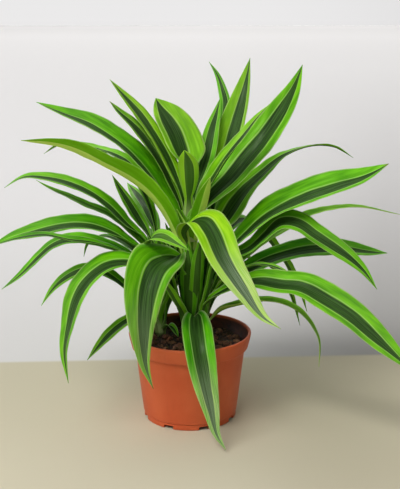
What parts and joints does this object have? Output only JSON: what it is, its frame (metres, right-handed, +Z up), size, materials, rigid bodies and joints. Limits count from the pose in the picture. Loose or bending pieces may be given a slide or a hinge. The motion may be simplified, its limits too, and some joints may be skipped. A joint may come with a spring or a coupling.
{
  "type": "potted dracaena",
  "caption": "Striped strap-leaved dracaena on slim canes in soil, in a tapered plastic nursery pot with a rim band and drainage slots.",
  "frame": {"origin": "centre of the pot's flat underside", "axes": "+Z up along the pot's axis, -Y towards the viewer of the picture, +X to the viewer's right"},
  "size_m": [0.5301, 0.3539, 0.4302],
  "materials": {
    "pot": "smooth satin terracotta-coloured plastic",
    "soil": "rough dark potting mix with bark pieces",
    "stem": "pale green cane wrapped in leaf bases",
    "leaf": "waxy leaf, dark green centre with lime margins"
  },
  "bodies": {
    "root": {"pot": "pot", "soil": "soil", "stem_centre": "stem", "stem_left": "stem", "stem_right": "stem", "leaf_centre_01": "leaf", "leaf_centre_02": "leaf", "leaf_centre_03": "leaf", "leaf_centre_04": "leaf", "leaf_centre_05": "leaf", "leaf_centre_06": "leaf", "leaf_centre_07": "leaf", "leaf_centre_08": "leaf", "leaf_centre_09": "leaf", "leaf_centre_10": "leaf", "leaf_centre_11": "leaf", "leaf_centre_12": "leaf", "leaf_centre_13": "leaf", "leaf_centre_14": "leaf", "leaf_centre_15": "leaf", "leaf_centre_16": "leaf", "leaf_centre_17": "leaf", "leaf_centre_18": "leaf", "leaf_centre_19": "leaf", "leaf_centre_20": "leaf", "leaf_right_01": "leaf", "leaf_right_02": "leaf", "leaf_right_03": "leaf", "leaf_right_04": "leaf", "leaf_right_05": "leaf", "leaf_right_06": "leaf", "leaf_right_07": "leaf", "leaf_right_08": "leaf", "leaf_right_09": "leaf", "leaf_right_10": "leaf", "leaf_right_11": "leaf", "leaf_right_12": "leaf", "leaf_right_13": "leaf", "leaf_left_01": "leaf", "leaf_left_02": "leaf", "leaf_left_03": "leaf", "leaf_left_04": "leaf", "leaf_left_05": "leaf", "leaf_left_06": "leaf", "leaf_left_07": "leaf", "leaf_left_08": "leaf", "leaf_left_09": "leaf", "leaf_left_10": "leaf", "leaf_left_11": "leaf", "leaf_left_12": "leaf", "leaf_left_13": "leaf", "leaf_left_14": "leaf", "leaf_left_15": "leaf", "leaf_left_16": "leaf", "leaf_left_17": "leaf"}
  },
  "joints": []
}
